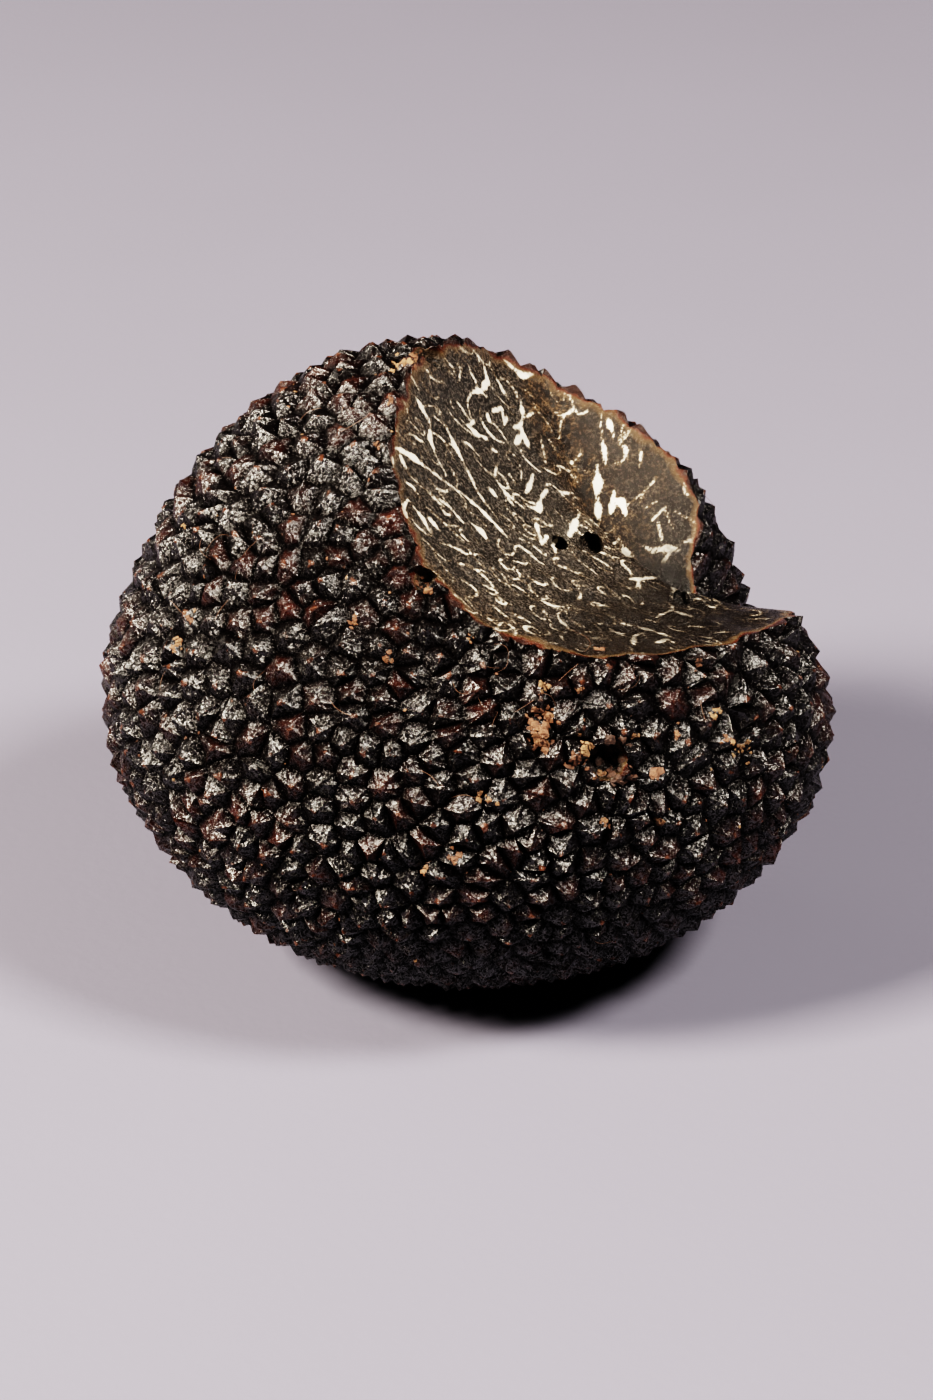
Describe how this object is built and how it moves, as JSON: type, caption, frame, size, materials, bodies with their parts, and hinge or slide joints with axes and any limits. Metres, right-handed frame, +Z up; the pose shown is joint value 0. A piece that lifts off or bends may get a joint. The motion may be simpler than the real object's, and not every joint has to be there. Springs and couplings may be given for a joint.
{
  "type": "black truffle",
  "caption": "Whole black truffle covered in pyramid warts, with a wedge cut out of its upper side that shows the flesh, resting on a small flat spot.",
  "frame": {"origin": "on the surface that the truffle lies on, below the middle of its bounding box, within its small flat spot", "axes": "+X to the right and +Y away from someone who looks into the cut, +Z up; the truffle is longest along X and lowest along Z"},
  "size_m": [0.0702, 0.0611, 0.0587],
  "materials": {
    "skin": "near-black brown warty skin, half gloss, reddish in places",
    "flesh": "matte dark grey-brown cut flesh with cream-white veins",
    "soil": "dry ochre crumbs of soil in the valleys of the skin",
    "fibre": "fine pale root hairs and plant fibres caught on the warts"
  },
  "bodies": {
    "root": {"truffle": "skin"}
  },
  "joints": []
}
